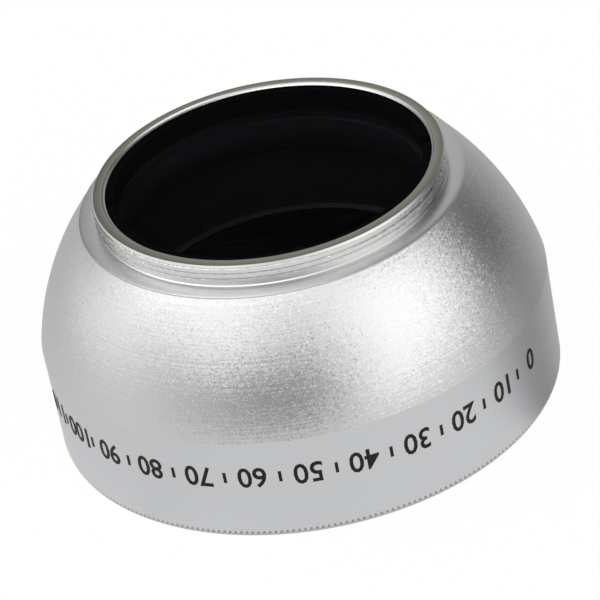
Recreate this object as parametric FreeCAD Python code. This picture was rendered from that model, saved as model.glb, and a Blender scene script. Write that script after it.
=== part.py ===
import FreeCAD, Part
import math
import os

# Wide-angle conversion lens, standing on its front rim with the rear thread up.
# Millimetres; the origin is the centre of the front rim's flat face, +Z runs up the
# optical axis towards the camera that the lens screws onto.

# Bell
band_radius = 22.2              # straight band at the front end
band_height = 9.37
dome_curve_radius = 23.65       # section radius of the dome
shell_wall = 1.9

# Rear mount ring: 30.5 mm thread, flat shoulder and the spigot that screws into the bell
thread_radius = 15.25
thread_length = 2.02
thread_lead_in = 0.2
neck_wall = 1.13
rim_bevel_width = 0.12
rim_bevel_height = 0.29
shoulder_width = 1.46
shoulder_bevel_width = 0.26
shoulder_bevel_height = 0.1
flange_thickness = 0.22
spigot_step = 0.35              # spigot radius over the camera thread's radius
spigot_length = 3.6

# Rear glass and the black ring that clamps it
rear_seat_depth = 3.24          # below the rear rim
rear_glass_edge = 1.2
rear_glass_curve = 59.0
glass_seat_width = 0.75         # ground edge of each glass that the rings press on
retaining_top_gap = 0.05        # ring top below the foot of the rim bevel
spanner_slot_width = 1.0
spanner_slot_depth = 0.6

# Front glass: negative meniscus, bulging to the front and deeply hollow behind
glass_recess = 0.8              # front rim plane to the top of the bulge
front_glass_centre = 1.5
front_glass_curve = 80.0
front_hollow_curve = 17.0
front_hollow_depth = 7.3

# Front rim ring with its serrated edge
front_wall = 1.2                # bell wall outside the ring's thread
glass_step = 0.8                # ring thread radius over the front glass's radius
rim_flange_thickness = 0.8
bezel_width = 0.9
bezel_depth = 1.3
tooth_count = 280
tooth_land = 0.12               # height of the tooth crests' feet above the rim plane
tooth_height = 0.38             # height of each notch on the band

# Cushion ring, baffle tube and the bell's inner ledge above it
cushion_thickness = 0.25
cushion_inset = 0.05
baffle_length = 5.8             # sets the two glasses apart
baffle_flange_thickness = 0.8
baffle_wall = 1.0
baffle_rib_depth = 0.9
baffle_rib_count = 5
baffle_inset = 0.29             # baffle opening inside the ledge's edge
ledge_thickness = 0.7
ledge_width = 1.05
spigot_end_gap = 0.3
joint_chamfer = 0.08

# Clearances on the radius
screw_clearance = 0.05          # screwed rings in their bores
drop_in_clearance = 0.05        # glasses, cushion and baffle in their bores

# Heights, piled up from the front rim
front_hollow_foot_z = glass_recess + front_glass_centre
front_glass_back_z = front_hollow_foot_z + front_hollow_depth
ledge_bottom_z = front_glass_back_z + baffle_length
ledge_top_z = ledge_bottom_z + ledge_thickness
spigot_end_z = ledge_top_z + spigot_end_gap
joint_z = spigot_end_z + spigot_length
shoulder_z = joint_z + flange_thickness
overall_height = shoulder_z + thread_length
rear_seat_z = overall_height - rear_seat_depth
rear_glass_top_z = rear_seat_z + rear_glass_edge
bevel_foot_z = overall_height - rim_bevel_height
retaining_top_z = bevel_foot_z - retaining_top_gap

# Radii
rear_bore_radius = thread_radius - neck_wall
shoulder_radius = thread_radius + shoulder_width
spigot_radius = thread_radius + spigot_step
bell_rear_bore_radius = spigot_radius + screw_clearance
ledge_radius = bell_rear_bore_radius - ledge_width
baffle_opening_radius = ledge_radius - baffle_inset
baffle_outer_radius = baffle_opening_radius + baffle_rib_depth + baffle_wall
rear_glass_radius = rear_bore_radius - drop_in_clearance
rear_opening_radius = rear_glass_radius - glass_seat_width
rim_thread_radius = band_radius - front_wall - screw_clearance
bell_front_bore_radius = rim_thread_radius - glass_step
front_glass_radius = bell_front_bore_radius - drop_in_clearance
front_opening_radius = front_glass_radius - glass_seat_width
front_hollow_radius = math.sqrt(2 * front_hollow_curve * front_hollow_depth - front_hollow_depth ** 2)


def cap_height(sphere_radius, edge_radius):
    return sphere_radius - math.sqrt(sphere_radius ** 2 - edge_radius ** 2)


# Front glass seat, and the ring's lip below the cushion
front_seat_z = glass_recess + cap_height(front_glass_curve, front_opening_radius)
rim_lip_z = front_seat_z - cushion_thickness


def point(radius, height):
    return FreeCAD.Vector(radius, 0, height)


def arc_point(start, end, curve_radius, share):
    # A point on the arc from start to end that bulges away from the axis.
    chord = end - start
    half = chord.Length / 2
    outward = FreeCAD.Vector(-chord.z, 0, chord.x).normalize()
    if outward.x < 0:
        outward = outward * -1
    centre = start + chord * 0.5 - outward * math.sqrt(curve_radius ** 2 - half ** 2)
    start_angle = math.atan2(start.z - centre.z, start.x - centre.x)
    end_angle = math.atan2(end.z - centre.z, end.x - centre.x)
    angle = start_angle + (end_angle - start_angle) * share
    return centre + point(math.cos(angle), math.sin(angle)) * curve_radius


def turned(outline):
    # Turns a closed section about the axis. Each item of the outline is a point, or a
    # pair of points for an arc that passes through the first and ends at the second.
    ends = [item[1] if isinstance(item, tuple) else item for item in outline]
    edges = []
    for index, item in enumerate(outline):
        start = ends[index - 1]
        if isinstance(item, tuple):
            edges.append(Part.Arc(start, item[0], item[1]).toShape())
        else:
            edges.append(Part.LineSegment(start, item).toShape())
    section = Part.Face(Part.Wire(edges))
    return section.revolve(FreeCAD.Vector(0, 0, 0), FreeCAD.Vector(0, 0, 1), 360)


def barrel_shell():
    dome_foot = point(band_radius, band_height)
    dome_top = point(shoulder_radius + joint_chamfer, joint_z - joint_chamfer)
    dome_middle = arc_point(dome_foot, dome_top, dome_curve_radius, 0.5)
    cavity_foot_z = front_glass_back_z + baffle_flange_thickness
    dome_rise = dome_top.z - dome_foot.z
    at_ledge = arc_point(dome_foot, dome_top, dome_curve_radius, (ledge_bottom_z - dome_foot.z) / dome_rise)
    cavity_top_radius = max(at_ledge.x - shell_wall * 1.25, baffle_outer_radius + drop_in_clearance)
    return turned([
        point(band_radius, rim_flange_thickness),
        dome_foot,
        (dome_middle, dome_top),
        point(shoulder_radius, joint_z),
        point(bell_rear_bore_radius, joint_z),
        point(bell_rear_bore_radius, ledge_top_z),
        point(ledge_radius, ledge_top_z),
        point(ledge_radius, ledge_bottom_z),
        point(cavity_top_radius, ledge_bottom_z),
        point(bell_front_bore_radius, cavity_foot_z),
        point(bell_front_bore_radius, front_seat_z),
        point(rim_thread_radius + screw_clearance, front_seat_z),
        point(rim_thread_radius + screw_clearance, rim_flange_thickness),
    ])


def rear_mount_ring():
    return turned([
        point(thread_radius - thread_lead_in, overall_height),
        point(thread_radius, overall_height - thread_lead_in),
        point(thread_radius, shoulder_z),
        point(shoulder_radius - shoulder_bevel_width, shoulder_z),
        point(shoulder_radius, shoulder_z - shoulder_bevel_height),
        point(shoulder_radius, joint_z),
        point(spigot_radius, joint_z),
        point(spigot_radius, spigot_end_z),
        point(rear_opening_radius, spigot_end_z),
        point(rear_opening_radius, rear_seat_z),
        point(rear_bore_radius, rear_seat_z),
        point(rear_bore_radius, bevel_foot_z),
        point(rear_bore_radius + rim_bevel_width, overall_height),
    ])


def rear_element():
    bulge = cap_height(rear_glass_curve, rear_opening_radius)
    half_bulge = cap_height(rear_glass_curve, rear_opening_radius / 2)
    low_z = rear_seat_z - bulge
    high_z = rear_glass_top_z + bulge
    return turned([
        point(0, low_z),
        (point(rear_opening_radius / 2, low_z + half_bulge), point(rear_opening_radius, rear_seat_z)),
        point(rear_glass_radius, rear_seat_z),
        point(rear_glass_radius, rear_glass_top_z),
        point(rear_opening_radius, rear_glass_top_z),
        (point(rear_opening_radius / 2, high_z - half_bulge), point(0, high_z)),
    ])


def rear_retaining_ring():
    outer_radius = rear_bore_radius - screw_clearance
    ring = turned([
        point(outer_radius, rear_glass_top_z),
        point(outer_radius, retaining_top_z),
        point(rear_opening_radius, retaining_top_z),
        point(rear_opening_radius, rear_glass_top_z),
    ])
    slot_size = FreeCAD.Vector(2 * rear_bore_radius, spanner_slot_width, spanner_slot_depth)
    corner = FreeCAD.Vector(-rear_bore_radius, -spanner_slot_width / 2, retaining_top_z - spanner_slot_depth)
    slots = Part.makeBox(slot_size.x, slot_size.y, slot_size.z, corner)
    return ring.cut(slots)


def front_element():
    half_front = cap_height(front_glass_curve, front_opening_radius / 2)
    half_hollow = cap_height(front_hollow_curve, front_hollow_radius / 2)
    return turned([
        point(0, glass_recess),
        (point(front_opening_radius / 2, glass_recess + half_front), point(front_opening_radius, front_seat_z)),
        point(front_glass_radius, front_seat_z),
        point(front_glass_radius, front_glass_back_z),
        point(front_hollow_radius, front_glass_back_z),
        (point(front_hollow_radius / 2, front_hollow_foot_z + half_hollow), point(0, front_hollow_foot_z)),
    ])


def front_cushion_ring():
    return turned([
        point(front_opening_radius + cushion_inset, rim_lip_z),
        point(front_glass_radius, rim_lip_z),
        point(front_glass_radius, front_seat_z),
        point(front_opening_radius + cushion_inset, front_seat_z),
    ])


def serration(height):
    # Star-shaped section of the serrated edge. Every section is a scaled copy of the one
    # in the rim plane, so the notch walls are flat and the notches run out on the band.
    crest_radius = band_radius - tooth_land
    root_radius = crest_radius - tooth_height
    scale = 1 + height / crest_radius
    corners = []
    for step in range(2 * tooth_count):
        radius = scale * (root_radius if step % 2 else crest_radius)
        angle = math.pi * step / tooth_count
        corners.append(FreeCAD.Vector(radius * math.cos(angle), radius * math.sin(angle), height))
    return Part.makePolygon(corners + corners[:1])


def front_rim_ring():
    ring = turned([
        point(front_opening_radius + bezel_width, 0),
        point(band_radius, 0),
        point(band_radius, rim_flange_thickness),
        point(rim_thread_radius, rim_flange_thickness),
        point(rim_thread_radius, rim_lip_z),
        point(front_opening_radius, rim_lip_z),
        point(front_opening_radius, bezel_depth),
    ])
    cutter_foot = serration(0)
    cutter_head = serration(rim_lip_z)
    star = Part.makeLoft([cutter_foot, cutter_head], True, True)
    return ring.common(star)


def baffle_tube():
    rib_pitch = baffle_length / baffle_rib_count
    outline = [
        point(baffle_opening_radius, front_glass_back_z),
        point(bell_front_bore_radius - drop_in_clearance, front_glass_back_z),
        point(bell_front_bore_radius - drop_in_clearance, front_glass_back_z + baffle_flange_thickness),
        point(baffle_outer_radius, front_glass_back_z + baffle_flange_thickness),
        point(baffle_outer_radius, ledge_bottom_z),
        point(baffle_opening_radius + baffle_rib_depth, ledge_bottom_z),
    ]
    for rib in range(baffle_rib_count - 1, 0, -1):
        rib_z = front_glass_back_z + rib * rib_pitch
        outline.append(point(baffle_opening_radius, rib_z))
        outline.append(point(baffle_opening_radius + baffle_rib_depth, rib_z))
    return turned(outline)


def save(node, shape):
    if not shape.isValid():
        raise ValueError(node + " is not a valid solid")
    shape.Solids[0].exportStep(os.path.join("parts", node + ".step"))
    print(node, "%.1f mm3" % shape.Volume)


os.makedirs("parts", exist_ok=True)
save("barrel_shell", barrel_shell())
save("front_rim_ring", front_rim_ring())
save("front_cushion_ring", front_cushion_ring())
save("front_element", front_element())
save("baffle_tube", baffle_tube())
save("rear_mount_ring", rear_mount_ring())
save("rear_element", rear_element())
save("rear_retaining_ring", rear_retaining_ring())
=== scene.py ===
import math

import bmesh
import bpy
from mathutils import Matrix, Vector


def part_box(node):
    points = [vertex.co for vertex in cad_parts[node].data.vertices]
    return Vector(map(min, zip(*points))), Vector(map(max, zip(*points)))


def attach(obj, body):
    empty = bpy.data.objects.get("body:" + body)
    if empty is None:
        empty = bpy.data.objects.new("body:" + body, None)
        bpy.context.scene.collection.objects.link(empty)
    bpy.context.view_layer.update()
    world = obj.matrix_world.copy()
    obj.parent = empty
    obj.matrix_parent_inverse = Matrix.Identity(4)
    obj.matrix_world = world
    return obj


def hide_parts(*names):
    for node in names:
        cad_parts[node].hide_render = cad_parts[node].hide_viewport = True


# A wide-angle conversion lens standing on its front rim, rear thread up.
# Sizes are in metres; mm turns millimetres into them. The optical axis is Z.
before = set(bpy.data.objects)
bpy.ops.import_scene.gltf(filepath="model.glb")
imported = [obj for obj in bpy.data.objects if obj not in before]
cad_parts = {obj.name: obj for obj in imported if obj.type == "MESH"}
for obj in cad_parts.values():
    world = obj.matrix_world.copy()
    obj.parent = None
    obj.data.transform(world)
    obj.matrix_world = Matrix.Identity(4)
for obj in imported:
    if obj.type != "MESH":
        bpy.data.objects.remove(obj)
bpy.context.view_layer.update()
mm = 0.001
fullTurn = 2 * math.pi
weldDistance = 0.0005 * mm      # points of a turned piece that are closer become one
joinDistance = 0.001 * mm       # the same for copies repeated round the axis

bellLow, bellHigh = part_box("barrel_shell")
_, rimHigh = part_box("front_rim_ring")
mountLow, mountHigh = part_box("rear_mount_ring")
frontGlassLow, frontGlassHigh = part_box("front_element")
rearGlassLow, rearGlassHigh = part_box("rear_element")

bandRadius = bellHigh.x
jointHeight = bellHigh.z        # where the mount ring sits on the bell
rimFlangeTop = bellLow.z
shoulderRadius = mountHigh.x
topHeight = mountHigh.z
print("frame loaded: %.1f mm across, %.1f mm high" % (2 * bandRadius / mm, topHeight / mm))


# Helpers that every piece uses

def linear(hexColour):
    # sRGB hex to the linear colour that shader sockets take
    channels = [int(hexColour[i:i + 2], 16) / 255 for i in (1, 3, 5)]
    return [c / 12.92 if c <= 0.04045 else ((c + 0.055) / 1.055) ** 2.4 for c in channels] + [1]


def addNode(tree, kind, settings=None, values=None, links=None):
    node = tree.nodes.new(kind)
    for name, setting in (settings or {}).items():
        setattr(node, name, setting)
    for socket, value in (values or {}).items():
        node.inputs[socket].default_value = value
    for socket, source in (links or {}).items():
        tree.links.new(source, node.inputs[socket])
    return node


def newMaterial(name):
    material = bpy.data.materials.new(name)
    material.use_nodes = True
    tree = material.node_tree
    tree.nodes.clear()
    output = addNode(tree, "ShaderNodeOutputMaterial")
    return material, tree, output


def arcPoints(start, end, curveRadius, count, side=1):
    # Points from start up to but not including end, on an arc that bulges to one side
    chord = Vector(end) - Vector(start)
    outward = Vector((chord.y, -chord.x)).normalized() * side
    depth = math.sqrt(curveRadius ** 2 - (chord.length / 2) ** 2)
    centre = Vector(start) + chord / 2 - outward * depth
    first = math.atan2(start[1] - centre.y, start[0] - centre.x)
    turn = math.atan2(end[1] - centre.y, end[0] - centre.x) - first
    turn = (turn + math.pi) % fullTurn - math.pi
    angles = [first + turn * i / count for i in range(count)]
    return [(centre.x + curveRadius * math.cos(a), centre.y + curveRadius * math.sin(a)) for a in angles]


def columnAt(form, section, angle):
    # One copy of a section's points, turned to an angle about Z
    return [form.verts.new((r * math.cos(angle), r * math.sin(angle), z)) for r, z in section]


def newPiece(name, mesh):
    piece = bpy.data.objects.new(name, mesh)
    bpy.context.collection.objects.link(piece)
    return piece


def turnedPiece(name, walls, roundSteps, sharpAngle):
    # Turns a closed section about Z. Each wall is its points and its material, and runs
    # to the first point of the next wall.
    materials = []
    section = []
    finishes = []
    for points, material in walls:
        if material not in materials:
            materials.append(material)
        section += points
        finishes += [materials.index(material)] * len(points)
    form = bmesh.new()
    columns = [columnAt(form, section, fullTurn * step / roundSteps) for step in range(roundSteps)]
    for step in range(roundSteps):
        here, there = columns[step], columns[(step + 1) % roundSteps]
        for i, finish in enumerate(finishes):
            j = (i + 1) % len(section)
            if section[i][0] == 0 and section[j][0] == 0:
                continue
            face = form.faces.new((here[i], there[i], there[j], here[j]))
            face.material_index = finish
            face.smooth = True
    bmesh.ops.remove_doubles(form, verts=form.verts, dist=weldDistance)
    bmesh.ops.recalc_face_normals(form, faces=form.faces)
    mesh = bpy.data.meshes.new(name)
    form.to_mesh(mesh)
    form.free()
    for material in materials:
        mesh.materials.append(material)
    mesh.set_sharp_from_angle(angle=math.radians(sharpAngle))
    return newPiece(name, mesh)


def applyTree(piece, tree, inputs):
    # Runs a Geometry Nodes tree on the piece and keeps the plain mesh
    modifier = piece.modifiers.new(tree.name, "NODES")
    modifier.node_group = tree
    for item in tree.interface.items_tree:
        if item.item_type == "SOCKET" and item.in_out == "INPUT" and item.name in inputs:
            modifier[item.identifier] = inputs[item.name]
    depsgraph = bpy.context.evaluated_depsgraph_get()
    mesh = bpy.data.meshes.new_from_object(piece.evaluated_get(depsgraph))
    piece.modifiers.remove(modifier)
    piece.data = mesh


def finishPiece(piece, slot, *nodes):
    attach(piece, "root")
    if nodes:
        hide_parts(*nodes)


# Materials

def leaningFacets(tree, place, grain, tilt):
    # The dents of blasting as flat facets: most lean a little, and a few lean far
    facets = addNode(tree, "ShaderNodeTexVoronoi", values={"Scale": 1 / grain},
                     links={"Vector": place.outputs["Object"]})
    lean = addNode(tree, "ShaderNodeVectorMath", {"operation": "SUBTRACT"}, values={1: (0.5, 0.5, 0.5)},
                   links={0: facets.outputs["Color"]})
    reach = addNode(tree, "ShaderNodeVectorMath", {"operation": "LENGTH"}, links={0: lean.outputs[0]})
    fewFar = addNode(tree, "ShaderNodeMath", {"operation": "POWER"}, values={1: 1.5},
                     links={0: reach.outputs["Value"]})
    push = addNode(tree, "ShaderNodeMath", {"operation": "MULTIPLY"}, values={1: tilt},
                   links={0: fewFar.outputs[0]})
    scaled = addNode(tree, "ShaderNodeVectorMath", {"operation": "SCALE"},
                     links={0: lean.outputs[0], "Scale": push.outputs[0]})
    form = addNode(tree, "ShaderNodeNewGeometry")
    tilted = addNode(tree, "ShaderNodeVectorMath", {"operation": "ADD"},
                     links={0: form.outputs["Normal"], 1: scaled.outputs[0]})
    normal = addNode(tree, "ShaderNodeVectorMath", {"operation": "NORMALIZE"}, links={0: tilted.outputs[0]})
    return facets, normal


def radiusAndHeight(tree, place):
    # Distance from the optical axis, and height
    parts = addNode(tree, "ShaderNodeSeparateXYZ", links={"Vector": place.outputs["Object"]})
    squareX = addNode(tree, "ShaderNodeMath", {"operation": "MULTIPLY"},
                      links={0: parts.outputs["X"], 1: parts.outputs["X"]})
    squares = addNode(tree, "ShaderNodeMath", {"operation": "MULTIPLY_ADD"},
                      links={0: parts.outputs["Y"], 1: parts.outputs["Y"], 2: squareX.outputs[0]})
    radius = addNode(tree, "ShaderNodeMath", {"operation": "SQRT"}, links={0: squares.outputs[0]})
    return radius.outputs[0], parts.outputs["Z"]


def changingColour(tree, value, firstColour, lastColour, edges):
    # The first colour up to one edge, the last colour from the other, a blend between
    share = addNode(tree, "ShaderNodeMapRange", values={"From Min": edges[0], "From Max": edges[1]},
                    links={"Value": value})
    blend = addNode(tree, "ShaderNodeMix", {"data_type": "RGBA"},
                    values={"A": linear(firstColour), "B": linear(lastColour)},
                    links={"Factor": share.outputs["Result"]})
    return blend.outputs["Result"]


def aluminium(name, colour, roughness, grain=None, grainTilt=0, grainSpread=0,
              turning=None, turningDepth=0, innerColour=None, innerEdges=None):
    # Anodised aluminium. Blasting leaves facets, some duller than others, and a lathe
    # leaves faint rings. A rim can blend from its inner colour to the other between two
    # radii: a painted reflection that makes it paler towards its inner edge.
    material, tree, output = newMaterial(name)
    shader = addNode(tree, "ShaderNodeBsdfPrincipled", values={
        "Base Color": linear(colour), "Metallic": 1.0, "Roughness": roughness})
    place = addNode(tree, "ShaderNodeTexCoord")
    normal = None
    if grain:
        facets, normal = leaningFacets(tree, place, grain, grainTilt)
    if grainSpread:
        shares = addNode(tree, "ShaderNodeSeparateXYZ", links={"Vector": facets.outputs["Color"]})
        dulling = addNode(tree, "ShaderNodeMapRange",
                          values={"To Min": roughness - grainSpread, "To Max": roughness + grainSpread},
                          links={"Value": shares.outputs["X"]})
        tree.links.new(dulling.outputs["Result"], shader.inputs["Roughness"])
    if turning:
        radius, height = radiusAndHeight(tree, place)
        profile = addNode(tree, "ShaderNodeCombineXYZ", links={"X": radius, "Z": height})
        rings = addNode(tree, "ShaderNodeTexNoise", values={"Scale": 1 / turning, "Detail": 1.0},
                        links={"Vector": profile.outputs["Vector"]})
        ridges = addNode(tree, "ShaderNodeBump", values={"Strength": 1.0, "Distance": turningDepth},
                         links={"Height": rings.outputs["Fac"]})
        if normal:
            tree.links.new(normal.outputs[0], ridges.inputs["Normal"])
        normal = ridges
    # painted reflection: the rim gets paler towards its inner edge
    if innerColour:
        paintedSheen = changingColour(tree, radius, innerColour, colour, innerEdges)
        tree.links.new(paintedSheen, shader.inputs["Base Color"])
    if normal:
        tree.links.new(normal.outputs[0], shader.inputs["Normal"])
    tree.links.new(shader.outputs["BSDF"], output.inputs["Surface"])
    return material


def plainSurface(name, colour, roughness, specular, topColour=None, fade=None):
    # Paint, ink or plastic, which may change to another colour between two heights: painted light or shade
    material, tree, output = newMaterial(name)
    shader = addNode(tree, "ShaderNodeBsdfPrincipled", values={
        "Base Color": linear(colour), "Roughness": roughness, "Specular IOR Level": specular})
    if topColour:
        place = addNode(tree, "ShaderNodeTexCoord")
        parts = addNode(tree, "ShaderNodeSeparateXYZ", links={"Vector": place.outputs["Object"]})
        fading = changingColour(tree, parts.outputs["Z"], colour, topColour, fade)
        tree.links.new(fading, shader.inputs["Base Color"])
    tree.links.new(shader.outputs["BSDF"], output.inputs["Surface"])
    return material


glassFinish = {
    "refractiveIndex": 1.52,        # crown glass
    "coatingTint": "#e6e2f0",       # the faint violet of what the coating mirrors
    "coatingRoughness": 0.02,
}


def coatedGlass(name, tint, mirrored, bends=True):
    # Optical glass with an anti-reflection coating, which mirrors only the little that
    # the coating leaves. The photograph shows the inside straight through the rear
    # glass, so that one doesn't bend the light.
    material, tree, output = newMaterial(name)
    if bends:
        through = addNode(tree, "ShaderNodeBsdfRefraction", values={
            "Color": linear(tint), "Roughness": 0.0, "IOR": glassFinish["refractiveIndex"]})
    else:
        through = addNode(tree, "ShaderNodeBsdfTransparent", values={"Color": linear(tint)})
    mirror = addNode(tree, "ShaderNodeBsdfGlossy", values={
        "Color": linear(glassFinish["coatingTint"]), "Roughness": glassFinish["coatingRoughness"]})
    surface = addNode(tree, "ShaderNodeMixShader", values={0: mirrored},
                      links={1: through.outputs[0], 2: mirror.outputs[0]})
    tree.links.new(surface.outputs[0], output.inputs["Surface"])
    return material


# On every finish here the grain of blasting is drawn coarser than the real 0.05 mm, so
# that a picture shows it.

# Blasted with fine beads, then anodised: a broad soft sheen that breaks into bright and
# dark grains where it falls off, over faint rings from the lathe
blastedAluminium = aluminium("blastedAnodisedAluminium", "#d5d6d5", 0.34, grain=0.11 * mm,
                             grainTilt=0.336, grainSpread=0.03, turning=0.25 * mm, turningDepth=0.014 * mm)
# Turned fine and lightly blasted, then anodised: smooth and even, a shade cooler than the dome
satinAluminium = aluminium("satinAnodisedAluminium", "#d3d4d6", 0.34, grain=0.13 * mm, grainTilt=0.084)
# Turned and anodised without blasting: shinier, with fine rings that draw out each highlight
turnedAluminium = aluminium("turnedAnodisedAluminium", "#d9dad7", 0.22,
                            turning=0.06 * mm, turningDepth=0.002 * mm)
# The same light blasting on the mount's shoulder: a calm grey with soft bright edges
mountAluminium = aluminium("satinMountAluminium", "#cfd0cf", 0.34, grain=0.13 * mm, grainTilt=0.084)
# Thread crests rubbed bright by use: pale streaks along the thread, with a few sparkles
threadAluminium = aluminium("wornThreadAluminium", "#e2e3e2", 0.26, grain=0.12 * mm, grainTilt=0.56,
                            turning=0.06 * mm, turningDepth=0.001 * mm)
# The rim's flat top: an olive grey, with a painted reflection that makes it paler at its inner edge
oliveRimAluminiumPaintedSheen = aluminium("oliveRimAluminiumPaintedSheen", "#828075", 0.28, turning=0.06 * mm, turningDepth=0.002 * mm,
                             innerColour="#a19f92", innerEdges=(14.35 * mm, 14.95 * mm))
# Black anodising on machined aluminium: near-black with a trace of blue, and no highlight
blackAnodised = plainSurface("matteBlackAnodised", "#0e0e12", 0.75, 0.04)
# Matte black paint in the rear bore: it hardly shows its form
blackBore = plainSurface("matteBlackBorePaint", "#0d0d0f", 0.8, 0.02)
# The same paint on the ring, with painted shade that makes it still darker along its top edge
ringBlack = plainSurface("matteBlackRingPaint", "#0d0d0f", 0.8, 0.02, "#050505", (21.8 * mm, 21.88 * mm))
# Black paint round the rear glass, with painted light that makes it paler towards its upper edge, where light
# falls in through the opening
openingBlackPaintedLight = plainSurface("blackSeatPaintWithPaintedLight", "#0c0c0f", 0.8, 0.04, "#25252a", (16.8 * mm, 20.0 * mm))
# Moulded matte plastic: an even soft black
blackPlastic = plainSurface("matteBlackPlastic", "#101010", 0.7, 0.1)
# Black paint on a glass's edge: it swallows what light gets there
edgePaint = plainSurface("blackEdgePaint", "#050505", 0.8, 0.02)
# Ground, unpainted edge of a glass: a dull dark grey line
groundGlass = plainSurface("groundGlassEdge", "#28282b", 0.8, 0.1)
# Screen-printed ink: flat black with a slight sheen
printInk = plainSurface("blackPrintInk", "#0c0c0e", 0.55, 0.3)
# Coated glass: clear, and told only by a weak reflection
rearLensGlass = coatedGlass("coatedRearGlass", "#f4f6f4", 0.002, bends=False)
# Thick coated glass: it bends what lies behind it, and its grey tint is painted shade that darkens the inside
# of the lens a little
frontLensGlass = coatedGlass("coatedFrontGlass", "#dcdce0", 0.005)
print("materials ready")


# Bell: satin band, blasted dome, black inside

bell = {
    "bandHeight": 9.37 * mm,
    "domeCurveRadius": 23.65 * mm,
    "jointChamfer": 0.015 * mm,
    "rimBoreRadius": 21.0 * mm,
    "rimSeatHeight": 3.175 * mm,
    "glassBoreRadius": 20.15 * mm,
    "cavityFoot": 10.4 * mm,
    "cavityTopRadius": 17.5 * mm,
    "ledgeBottom": 15.4 * mm,
    "ledgeTop": 16.1 * mm,
    "ledgeRadius": 14.6 * mm,
    "rearBoreRadius": 15.65 * mm,
    "domeSteps": 48,
    "roundSteps": 360,
    "sharpAngle": 8,                # edges sharper than this many degrees aren't smoothed
}


def makeBell(size):
    domeFoot = (bandRadius, size["bandHeight"])
    domeTop = (shoulderRadius + size["jointChamfer"], jointHeight - size["jointChamfer"])
    dome = arcPoints(domeFoot, domeTop, size["domeCurveRadius"], size["domeSteps"]) + [domeTop]
    inside = [
        (shoulderRadius, jointHeight),
        (size["rearBoreRadius"], jointHeight),
        (size["rearBoreRadius"], size["ledgeTop"]),
        (size["ledgeRadius"], size["ledgeTop"]),
        (size["ledgeRadius"], size["ledgeBottom"]),
        (size["cavityTopRadius"], size["ledgeBottom"]),
        (size["glassBoreRadius"], size["cavityFoot"]),
        (size["glassBoreRadius"], size["rimSeatHeight"]),
        (size["rimBoreRadius"], size["rimSeatHeight"]),
        (size["rimBoreRadius"], rimFlangeTop),
    ]
    piece = turnedPiece("bell", [
        ([(bandRadius, rimFlangeTop)], satinAluminium),
        (dome, blastedAluminium),
        (inside, blackAnodised),
    ], size["roundSteps"], size["sharpAngle"])
    finishPiece(piece, "bell_aluminium", "barrel_shell")


makeBell(bell)
print("bell made")


# Serrated ring round the front rim

serration = {
    "toothCount": 280,
    "crestRadius": 22.08 * mm,
    "rootRadius": 21.7 * mm,
    "notchTop": 0.509 * mm,         # where each notch runs out on the band
    "crestFoot": 0.12 * mm,         # where each crest meets the band
    "bezelRadius": 20.25 * mm,
    "openingRadius": 19.35 * mm,
    "bezelDepth": 1.3 * mm,
    "threadRadius": 20.95 * mm,
    "sharpAngle": 4,
}


def repeatRoundTree():
    # Repeats the piece's own mesh round Z
    tree = bpy.data.node_groups.new("repeatRound", "GeometryNodeTree")
    tree.is_modifier = True
    for name, kind in (("Geometry", "Geometry"), ("Count", "Int"), ("Step Angle", "Float"),
                       ("Merge Distance", "Float"), ("Material", "Material")):
        tree.interface.new_socket(name, in_out="INPUT", socket_type="NodeSocket" + kind)
    tree.interface.new_socket("Geometry", in_out="OUTPUT", socket_type="NodeSocketGeometry")
    given = addNode(tree, "NodeGroupInput")
    points = addNode(tree, "GeometryNodePoints", links={"Count": given.outputs["Count"]})
    index = addNode(tree, "GeometryNodeInputIndex")
    angle = addNode(tree, "ShaderNodeMath", {"operation": "MULTIPLY"},
                    links={0: index.outputs[0], 1: given.outputs["Step Angle"]})
    turn = addNode(tree, "ShaderNodeCombineXYZ", links={"Z": angle.outputs[0]})
    rotation = addNode(tree, "FunctionNodeEulerToRotation", links={"Euler": turn.outputs[0]})
    copies = addNode(tree, "GeometryNodeInstanceOnPoints", links={
        "Points": points.outputs[0], "Instance": given.outputs["Geometry"], "Rotation": rotation.outputs[0]})
    real = addNode(tree, "GeometryNodeRealizeInstances", links={"Geometry": copies.outputs[0]})
    joined = addNode(tree, "GeometryNodeMergeByDistance", links={
        "Geometry": real.outputs[0], "Distance": given.outputs["Merge Distance"]})
    dressed = addNode(tree, "GeometryNodeSetMaterial", links={
        "Geometry": joined.outputs[0], "Material": given.outputs["Material"]})
    addNode(tree, "NodeGroupOutput", links={"Geometry": dressed.outputs[0]})
    return tree


def makeFrontRim(size, tree):
    # One tooth, from the middle of a notch over the crest to the next notch, goes round
    toothAngle = fullTurn / size["toothCount"]
    crest = [(size["crestRadius"], 0), (bandRadius, size["crestFoot"])]
    notch = [(size["rootRadius"], 0), (bandRadius, size["notchTop"])]
    ring = [
        (bandRadius, rimFlangeTop),
        (size["threadRadius"], rimFlangeTop),
        (size["threadRadius"], rimHigh.z),
        (size["openingRadius"], rimHigh.z),
        (size["openingRadius"], size["bezelDepth"]),
        (size["bezelRadius"], 0),
    ]
    form = bmesh.new()
    columns = [
        columnAt(form, notch + ring, -toothAngle / 2),
        columnAt(form, crest + ring, 0),
        columnAt(form, notch + ring, toothAngle / 2),
    ]
    for here, there in zip(columns, columns[1:]):
        for i in range(len(here)):
            j = (i + 1) % len(here)
            form.faces.new((here[i], there[i], there[j], here[j]))
    mesh = bpy.data.meshes.new("tooth")
    form.to_mesh(mesh)
    form.free()
    piece = newPiece("serratedRim", mesh)
    applyTree(piece, tree, {
        "Count": size["toothCount"], "Step Angle": toothAngle,
        "Merge Distance": joinDistance, "Material": satinAluminium})
    piece.data.shade_smooth()
    piece.data.set_sharp_from_angle(angle=math.radians(size["sharpAngle"]))
    finishPiece(piece, "rim_aluminium", "front_rim_ring")


roundTree = repeatRoundTree()
makeFrontRim(serration, roundTree)
print("serrated rim made")


# Mount ring: shoulder, neck with the camera thread, bevelled rim

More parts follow.
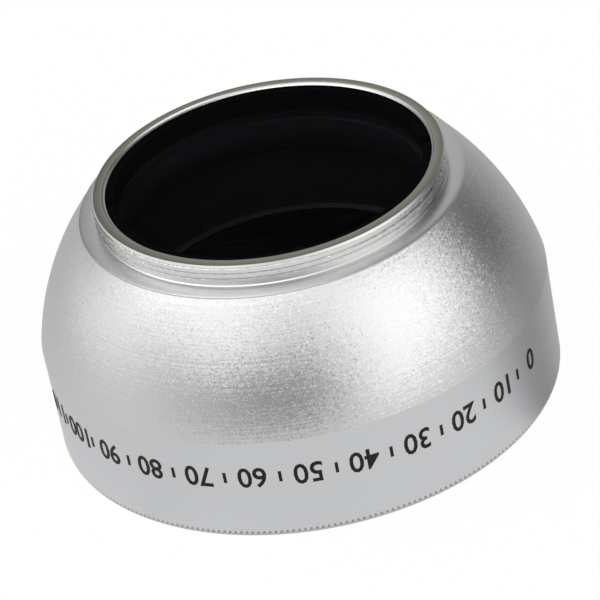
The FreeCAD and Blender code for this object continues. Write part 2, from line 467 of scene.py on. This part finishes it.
mountRing = {
    "shoulderHeight": 20.22 * mm,
    "shoulderBevel": (0.26 * mm, 0.1 * mm),
    "jointChamfer": 0.01 * mm,
    "neckFootRadius": 15.21 * mm,
    "neckFootHeight": 0.09 * mm,
    "neckRadius": 15.12 * mm,
    "flareHeight": 0.1 * mm,                # the neck flares out this far below the rim's chamfer
    "rimOuter": (15.08 * mm, 22.2 * mm),    # the rim's top falls a little towards its outer edge
    "rimChamfer": (0.12 * mm, 0.17 * mm),
    "rimInnerRadius": 14.31 * mm,
    "roundingCurve": 0.4 * mm,              # of the rim's inner edge
    "roundingFoot": 22.01 * mm,
    "roundingSteps": 6,
    "boreRadius": 14.09 * mm,
    "glassSeatHeight": 18.97 * mm,
    "borePaintWidth": 0.4 * mm,             # the bore's paint reaches this far onto the seat
    "openingRadius": 13.32 * mm,
    "spigotRadius": 15.6 * mm,
    "roundSteps": 360,
    "sharpAngle": 24,
}
cameraThread = {
    "crestRadius": 15.25 * mm,
    "sunkRadius": 15.1 * mm,        # the ridge's foot lies inside the neck
    "pitch": 0.5 * mm,
    "turns": 2.7,
    "footHeight": 20.53 * mm,       # where the ridge starts
    "startAzimuth": 90,             # degrees, on the side away from the camera
    "crestShare": 0.35,             # half the worn flat crest, as a share of the pitch
    "footShare": 0.49,              # half the ridge's foot, as a share of the pitch
    "fadeInEnd": 0.1,               # shares of the ridge's length
    "fadeOutStart": 0.92,
    "stepsPerTurn": 180,
    "sharpAngle": 30,
}


def threadTree():
    # A right-handed helical ridge with a flat crest, which fades out at both ends
    tree = bpy.data.node_groups.new("threadRidge", "GeometryNodeTree")
    tree.is_modifier = True
    tree.interface.new_socket("Geometry", in_out="INPUT", socket_type="NodeSocketGeometry")
    for name in ("Foot Radius", "Depth", "Pitch", "Turns", "Crest Share", "Foot Share", "Fade In End",
                 "Fade Out Start", "Foot Height", "Start Angle"):
        tree.interface.new_socket(name, in_out="INPUT", socket_type="NodeSocketFloat")
    tree.interface.new_socket("Steps Per Turn", in_out="INPUT", socket_type="NodeSocketInt")
    tree.interface.new_socket("Material", in_out="INPUT", socket_type="NodeSocketMaterial")
    tree.interface.new_socket("Geometry", in_out="OUTPUT", socket_type="NodeSocketGeometry")
    given = addNode(tree, "NodeGroupInput")
    pitch, depth = given.outputs["Pitch"], given.outputs["Depth"]
    rise = addNode(tree, "ShaderNodeMath", {"operation": "MULTIPLY"},
                   links={0: pitch, 1: given.outputs["Turns"]})
    helix = addNode(tree, "GeometryNodeCurveSpiral", values={"Reverse": True}, links={
        "Resolution": given.outputs["Steps Per Turn"], "Rotations": given.outputs["Turns"],
        "Start Radius": given.outputs["Foot Radius"], "End Radius": given.outputs["Foot Radius"],
        "Height": rise.outputs[0]})
    lift = addNode(tree, "ShaderNodeCombineXYZ", links={"Z": given.outputs["Foot Height"]})
    spin = addNode(tree, "ShaderNodeCombineXYZ", links={"Z": given.outputs["Start Angle"]})
    placed = addNode(tree, "GeometryNodeTransform", links={
        "Geometry": helix.outputs[0], "Translation": lift.outputs[0], "Rotation": spin.outputs[0]})
    upright = addNode(tree, "GeometryNodeSetCurveNormal", {"mode": "Z_UP"},
                      links={"Curve": placed.outputs[0]})
    footHalf, crestHalf = [
        addNode(tree, "ShaderNodeMath", {"operation": "MULTIPLY"}, links={0: pitch, 1: given.outputs[share]})
        for share in ("Foot Share", "Crest Share")]
    footMinus, crestMinus = [
        addNode(tree, "ShaderNodeMath", {"operation": "MULTIPLY"}, values={1: -1.0},
                links={0: half.outputs[0]})
        for half in (footHalf, crestHalf)]
    corners = [
        addNode(tree, "ShaderNodeCombineXYZ", links={"Y": footMinus.outputs[0]}),
        addNode(tree, "ShaderNodeCombineXYZ", links={"X": depth, "Y": crestMinus.outputs[0]}),
        addNode(tree, "ShaderNodeCombineXYZ", links={"X": depth, "Y": crestHalf.outputs[0]}),
        addNode(tree, "ShaderNodeCombineXYZ", links={"Y": footHalf.outputs[0]}),
    ]
    section = addNode(tree, "GeometryNodeCurvePrimitiveQuadrilateral", {"mode": "POINTS"}, links={
        "Point %d" % (i + 1): corner.outputs[0] for i, corner in enumerate(corners)})
    share = addNode(tree, "GeometryNodeSplineParameter")
    fadeIn = addNode(tree, "ShaderNodeMapRange", {"interpolation_type": "SMOOTHSTEP"},
                     values={"From Min": 0.0},
                     links={"Value": share.outputs["Factor"], "From Max": given.outputs["Fade In End"]})
    fadeOut = addNode(tree, "ShaderNodeMapRange", {"interpolation_type": "SMOOTHSTEP"},
                      values={"From Min": 1.0},
                      links={"Value": share.outputs["Factor"], "From Max": given.outputs["Fade Out Start"]})
    fade = addNode(tree, "ShaderNodeMath", {"operation": "MULTIPLY"},
                   links={0: fadeIn.outputs["Result"], 1: fadeOut.outputs["Result"]})
    ridge = addNode(tree, "GeometryNodeCurveToMesh", values={"Fill Caps": True}, links={
        "Curve": upright.outputs[0], "Profile Curve": section.outputs[0], "Scale": fade.outputs[0]})
    real = addNode(tree, "GeometryNodeRealizeInstances", links={"Geometry": ridge.outputs[0]})
    dressed = addNode(tree, "GeometryNodeSetMaterial", links={
        "Geometry": real.outputs[0], "Material": given.outputs["Material"]})
    addNode(tree, "NodeGroupOutput", links={"Geometry": dressed.outputs[0]})
    return tree


def makeMountRing(size):
    bevelWidth, bevelDrop = size["shoulderBevel"]
    chamferWidth, chamferDrop = size["rimChamfer"]
    rimEdge, rimEdgeHeight = size["rimOuter"]
    chamferFoot = rimEdgeHeight - chamferDrop
    shoulder = size["shoulderHeight"]
    seat = size["glassSeatHeight"]
    rounding = arcPoints((size["rimInnerRadius"], topHeight), (size["boreRadius"], size["roundingFoot"]),
                         size["roundingCurve"], size["roundingSteps"], side=-1)
    piece = turnedPiece("mountRing", [
        ([(shoulderRadius - size["jointChamfer"], jointHeight),
          (shoulderRadius, jointHeight + size["jointChamfer"]),
          (shoulderRadius, shoulder - bevelDrop),
          (shoulderRadius - bevelWidth, shoulder)], mountAluminium),
        ([(size["neckFootRadius"], shoulder),
          (size["neckRadius"], shoulder + size["neckFootHeight"]),
          (size["neckRadius"], chamferFoot - size["flareHeight"])], turnedAluminium),
        ([(rimEdge + chamferWidth, chamferFoot)], mountAluminium),
        ([(rimEdge, rimEdgeHeight)], oliveRimAluminiumPaintedSheen),
        (rounding, mountAluminium),
        ([(size["boreRadius"], size["roundingFoot"]),
          (size["boreRadius"], seat),
          (size["boreRadius"] - size["borePaintWidth"], seat)], blackBore),
        ([(size["openingRadius"], seat)], openingBlackPaintedLight),
        ([(size["openingRadius"], mountLow.z),
          (size["spigotRadius"], mountLow.z),
          (size["spigotRadius"], jointHeight)], blackAnodised),
    ], size["roundSteps"], size["sharpAngle"])
    finishPiece(piece, "mount_aluminium", "rear_mount_ring")


def makeThread(size):
    thread = newPiece("thread", bpy.data.meshes.new("thread"))
    applyTree(thread, threadTree(), {
        "Foot Radius": size["sunkRadius"], "Depth": size["crestRadius"] - size["sunkRadius"],
        "Pitch": size["pitch"], "Turns": size["turns"], "Crest Share": size["crestShare"],
        "Foot Share": size["footShare"], "Fade In End": size["fadeInEnd"],
        "Fade Out Start": size["fadeOutStart"], "Foot Height": size["footHeight"],
        "Start Angle": math.radians(size["startAzimuth"]), "Steps Per Turn": size["stepsPerTurn"],
        "Material": threadAluminium})
    thread.data.shade_smooth()
    thread.data.set_sharp_from_angle(angle=math.radians(size["sharpAngle"]))
    finishPiece(thread, "mount_aluminium")


makeMountRing(mountRing)
makeThread(cameraThread)
print("mount ring and thread made")


# Glasses

glassMesh = {
    "bulgeSteps": 24,
    "roundSteps": 192,
    "sharpAngle": 12,
}
frontGlass = {
    "bulgeCurve": 80 * mm,
    "bulgeRadius": 19.35 * mm,
    "seatHeight": 3.175 * mm,
    "hollowCurve": 17 * mm,
    "hollowRadius": 13.96 * mm,
    "hollowFoot": 2.3 * mm,
    "groundRadius": 14.31 * mm,     # the ground edge of the hollow shows inside the baffle
    "hollowSteps": 40,
    "groundSteps": 1,               # how many steps of the hollow are ground too
}
rearGlass = {
    "bulgeCurve": 59 * mm,
    "bulgeRadius": 13.32 * mm,
    "seatHeight": 19.0 * mm,
    "edgeTop": 20.2 * mm,
}


def makeFrontGlass(size, mesh):
    back = frontGlassHigh.z
    bulge = arcPoints((0, frontGlassLow.z), (size["bulgeRadius"], size["seatHeight"]),
                      size["bulgeCurve"], mesh["bulgeSteps"])
    hollow = arcPoints((size["hollowRadius"], back), (0, size["hollowFoot"]),
                       size["hollowCurve"], size["hollowSteps"])
    piece = turnedPiece("frontGlass", [
        (bulge, frontLensGlass),
        ([(size["bulgeRadius"], size["seatHeight"]),
          (frontGlassHigh.x, size["seatHeight"]),
          (frontGlassHigh.x, back)], edgePaint),
        ([(size["groundRadius"], back)] + hollow[:size["groundSteps"]], groundGlass),
        (hollow[size["groundSteps"]:] + [(0, size["hollowFoot"])], frontLensGlass),
    ], mesh["roundSteps"], mesh["sharpAngle"])
    finishPiece(piece, "coated_glass", "front_element")


def makeRearGlass(size, mesh):
    under = arcPoints((0, rearGlassLow.z), (size["bulgeRadius"], size["seatHeight"]),
                      size["bulgeCurve"], mesh["bulgeSteps"])
    over = arcPoints((size["bulgeRadius"], size["edgeTop"]), (0, rearGlassHigh.z),
                     size["bulgeCurve"], mesh["bulgeSteps"])
    piece = turnedPiece("rearGlass", [
        (under, rearLensGlass),
        ([(size["bulgeRadius"], size["seatHeight"]),
          (rearGlassHigh.x, size["seatHeight"]),
          (rearGlassHigh.x, size["edgeTop"])], openingBlackPaintedLight),
        (over + [(0, rearGlassHigh.z)], rearLensGlass),
    ], mesh["roundSteps"], mesh["sharpAngle"])
    finishPiece(piece, "coated_glass", "rear_element")


makeFrontGlass(frontGlass, glassMesh)
makeRearGlass(rearGlass, glassMesh)
print("glasses made")


# The black pieces inside keep their CAD meshes

for node, material in (("front_cushion_ring", blackPlastic), ("baffle_tube", blackAnodised),
                       ("rear_retaining_ring", ringBlack)):
    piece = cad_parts[node]
    piece.data.materials.clear()
    piece.data.materials.append(material)


# Plain number scale printed on the band, read with the lens thread down

scalePrint = {
    "numbers": [str(n) for n in range(0, 120, 10)],
    "firstAzimuth": -33.0,      # degrees, on the right of the photograph
    "stepAzimuth": 12.2,
    "capHeight": 2.0 * mm,
    "centreHeight": 5.95 * mm,
    "widthShare": 0.95,         # of the font's own width
    "strokeGain": 0.012,        # thickens the strokes, in the font's own units
    "curveSteps": 3,            # how finely the curves of a digit are drawn
    "inkThickness": 0.03 * mm,
    "tickWidth": 0.27 * mm,
    "tickHeight": 1.0 * mm,
}


def wrapOnBand(piece, azimuth, height):
    # Bends a flat mesh round the band, its tops towards the front rim
    for vertex in piece.data.vertices:
        x, y, z = vertex.co
        angle = math.radians(azimuth) - x / bandRadius
        radius = bandRadius + z
        vertex.co = (radius * math.cos(angle), radius * math.sin(angle), height - y)


def makeNumber(size, text, azimuth):
    curve = bpy.data.curves.new("number" + text, "FONT")
    curve.body = text
    curve.align_x = "CENTER"
    curve.extrude = 0.5         # one unit thick, until it is scaled to the ink
    curve.offset = size["strokeGain"]
    curve.resolution_u = size["curveSteps"]
    letter = newPiece("number" + text, curve)
    mesh = bpy.data.meshes.new_from_object(letter.evaluated_get(bpy.context.evaluated_depsgraph_get()))
    bpy.data.objects.remove(letter)
    across = [v.co.x for v in mesh.vertices]
    upward = [v.co.y for v in mesh.vertices]
    centre = Vector(((max(across) + min(across)) / 2, (max(upward) + min(upward)) / 2, 0))
    scale = size["capHeight"] / (max(upward) - min(upward))
    shrink = Matrix.Diagonal((scale * size["widthShare"], scale, 2 * size["inkThickness"], 1))
    mesh.transform(shrink @ Matrix.Translation(-centre))
    mesh.materials.append(printInk)
    number = newPiece("number" + text, mesh)
    wrapOnBand(number, azimuth, size["centreHeight"])
    return number


def makeTicks(size, tree):
    # One tick between each number and the next
    form = bmesh.new()
    bmesh.ops.create_cube(form, size=1)
    form.transform(Matrix.Diagonal((size["tickWidth"], size["tickHeight"], 2 * size["inkThickness"], 1)))
    mesh = bpy.data.meshes.new("ticks")
    form.to_mesh(mesh)
    form.free()
    ticks = newPiece("ticks", mesh)
    wrapOnBand(ticks, size["firstAzimuth"] - size["stepAzimuth"] / 2, size["centreHeight"])
    applyTree(ticks, tree, {
        "Count": len(size["numbers"]) - 1, "Step Angle": math.radians(-size["stepAzimuth"]),
        "Merge Distance": joinDistance, "Material": printInk})
    return ticks


def makeScale(size, tree):
    numbers = [makeNumber(size, text, size["firstAzimuth"] - i * size["stepAzimuth"])
               for i, text in enumerate(size["numbers"])]
    for number in numbers:
        finishPiece(number, "black_plastic")
    finishPiece(makeTicks(size, tree), "black_plastic")


makeScale(scalePrint, roundTree)
print("scale printed")


# Floor, light and camera

def aim(azimuth, elevation):
    a, e = math.radians(azimuth), math.radians(elevation)
    return Vector((math.cos(e) * math.cos(a), math.cos(e) * math.sin(a), math.sin(e)))


def addLobe(tree, heading, towards, tightness, strength, before):
    # Adds a soft lobe round one direction to the level before it, a number or a socket
    along = addNode(tree, "ShaderNodeVectorMath", {"operation": "DOT_PRODUCT"}, values={1: towards},
                    links={0: heading})
    half = addNode(tree, "ShaderNodeMath", {"operation": "MULTIPLY_ADD"}, values={1: 0.5, 2: 0.5},
                   links={0: along.outputs["Value"]})
    lobe = addNode(tree, "ShaderNodeMath", {"operation": "POWER"}, values={1: tightness},
                   links={0: half.outputs[0]})
    level = addNode(tree, "ShaderNodeMath", {"operation": "MULTIPLY_ADD"}, values={1: strength},
                    links={0: lobe.outputs[0]})
    if isinstance(before, float):
        level.inputs[2].default_value = before
    else:
        tree.links.new(before, level.inputs[2])
    return level.outputs[0]


def whiteForCamera(tree, level):
    # The level that surfaces see, but plain white where the camera looks straight at it
    floored = addNode(tree, "ShaderNodeMath", {"operation": "MAXIMUM"}, values={1: leastLight},
                      links={0: level})
    rays = addNode(tree, "ShaderNodeLightPath")
    white = addNode(tree, "ShaderNodeMix", {"data_type": "FLOAT"}, values={"B": 1.0},
                    links={"Factor": rays.outputs["Is Camera Ray"], "A": floored.outputs[0]})
    return rays, white.outputs["Result"]


leastLight = 0.02                   # no direction is darker than this
table = {
    "width": 6.0,                   # metres
    "drop": 0.02 * mm,              # the table lies this far under the lens
    "paper": "#ececec",
    "darkRadius": 21.2 * mm,        # under the lens no light reaches the table,
    "footRadius": 22.13 * mm,       # and under the teeth only a little does
    "footLevel": 0.5,
    "seenShare": 0.97,              # how much of its white is light of its own
    "reflectedWhite": 0.872,
}
tableShades = {
    # dark things beside the lens that only shiny surfaces see: the point they are seen
    # from, azimuth in degrees, tightness, depth
    "card": ((14 * mm, -12 * mm, 0), 19.8, 10.1, 0.504),
    "farRoom": ((0, 0, 0), 98.6, 2.3, 0.352),
}


def makeTable(size, shades):
    material, tree, output = newMaterial("whiteTable")
    place = addNode(tree, "ShaderNodeTexCoord")
    distance = addNode(tree, "ShaderNodeVectorMath", {"operation": "LENGTH"},
                       links={0: place.outputs["Object"]})
    outside = addNode(tree, "ShaderNodeMath", {"operation": "GREATER_THAN"}, values={1: size["footRadius"]},
                      links={0: distance.outputs["Value"]})
    reflected = size["reflectedWhite"]
    for centre, azimuth, tightness, depth in shades.values():
        fromLens = addNode(tree, "ShaderNodeVectorMath", {"operation": "SUBTRACT"}, values={1: centre},
                           links={0: place.outputs["Object"]})
        heading = addNode(tree, "ShaderNodeVectorMath", {"operation": "NORMALIZE"},
                          links={0: fromLens.outputs[0]})
        reflected = addLobe(tree, heading.outputs[0], aim(azimuth, 0), tightness, -depth, reflected)
    rays, white = whiteForCamera(tree, reflected)
    seen = addNode(tree, "ShaderNodeMath", {"operation": "MAXIMUM"},
                   links={0: rays.outputs["Is Camera Ray"], 1: rays.outputs["Is Glossy Ray"]})
    seenOrThrough = addNode(tree, "ShaderNodeMath", {"operation": "MAXIMUM"},
                            links={0: seen.outputs[0], 1: rays.outputs["Is Transmission Ray"]})
    share = addNode(tree, "ShaderNodeMath", {"operation": "MULTIPLY"}, values={1: size["seenShare"]},
                    links={0: seenOrThrough.outputs[0]})
    paper = addNode(tree, "ShaderNodeBsdfDiffuse", values={"Color": linear(size["paper"])})
    glow = addNode(tree, "ShaderNodeEmission", links={"Strength": white})
    top = addNode(tree, "ShaderNodeMixShader", links={
        0: share.outputs[0], 1: paper.outputs[0], 2: glow.outputs[0]})
    # Painted shadow: under the lens the table doesn't glow at all, and under the teeth it glows grey, rising
    # outwards
    underTeeth = addNode(tree, "ShaderNodeMapRange", values={
        "From Min": size["darkRadius"], "From Max": size["footRadius"], "To Max": size["footLevel"]},
        links={"Value": distance.outputs["Value"]})
    covered = addNode(tree, "ShaderNodeEmission", links={"Strength": underTeeth.outputs["Result"]})
    whole = addNode(tree, "ShaderNodeMixShader", links={
        0: outside.outputs[0], 1: covered.outputs[0], 2: top.outputs[0]})
    tree.links.new(whole.outputs[0], output.inputs["Surface"])
    bpy.ops.mesh.primitive_plane_add(size=size["width"])
    plane = bpy.context.active_object
    plane.name = "table"
    plane.location.z = -size["drop"]
    plane.data.materials.append(material)


baseLight = 0.178                   # from every direction, before the soft lights
softLights = {
    # azimuth and elevation that it comes from in degrees, tightness of the glow, and
    # strength, which takes light away where it is below zero
    "lowWindow": (-54.2, -10.0, 78.7, 2.954),
    "leftBox": (-125.3, 26.6, 27.4, 1.639),
    "rightBox": (-33.8, 29.4, 5.1, 2.031),
    "darkRoom": (-111.2, -3.1, 16.0, -1.500),
    "blackFlag": (13.2, 8.2, 43.7, -1.134),
    "leftWindow": (161.8, 54.9, 13.2, 2.357),
    "leftDoor": (143.0, 35.9, 20.0, -1.500),
    "rightDoor": (27.6, 48.9, 24.9, -1.500),
    "farWall": (136.4, 7.3, 3.0, 1.620),
    "farDoor": (120.5, 22.1, 17.9, -1.329),
    "upperShade": (-18.0, 66.9, 50.6, -1.500),
    "topGlow": (-111.5, 73.2, 79.9, 3.000),
}


def makeWorld(lights):
    world = bpy.data.worlds.new("studio")
    world.use_nodes = True
    tree = world.node_tree
    tree.nodes.clear()
    place = addNode(tree, "ShaderNodeTexCoord")
    level = baseLight
    for azimuth, elevation, tightness, strength in lights.values():
        level = addLobe(tree, place.outputs["Generated"], aim(azimuth, elevation), tightness, strength, level)
    _, white = whiteForCamera(tree, level)
    sky = addNode(tree, "ShaderNodeBackground", links={"Strength": white})
    addNode(tree, "ShaderNodeOutputWorld", links={"Surface": sky.outputs[0]})
    bpy.context.scene.world = world


camera = {
    "focalLength": 214.76,                  # mm, on a sensor 36 mm wide
    "sensorWidth": 36,
    "location": (0.568, -263.09, 174.51),   # mm
    "elevation": 32.25,                     # degrees, as the roll is
    "roll": -11.29,
    "shift": (-0.5, 0.5),                   # pixels of the frame
    "frameWidth": 600,
    "clip": (0.01, 10),                     # metres
}


def makeCamera(size):
    lens = bpy.data.cameras.new("camera")
    lens.lens = size["focalLength"]
    lens.sensor_width = size["sensorWidth"]
    lens.shift_x, lens.shift_y = [pixels / size["frameWidth"] for pixels in size["shift"]]
    lens.clip_start, lens.clip_end = size["clip"]
    eye = newPiece("camera", lens)
    tip = Matrix.Rotation(math.radians(90 - size["elevation"]), 4, "X")
    roll = Matrix.Rotation(math.radians(size["roll"]), 4, "Z")
    eye.matrix_world = Matrix.Translation(Vector(size["location"]) * mm) @ (tip @ roll)
    bpy.context.scene.camera = eye


makeTable(table, tableShades)
makeWorld(softLights)
makeCamera(camera)
bpy.context.scene.view_settings.view_transform = "Standard"
print("stage ready")
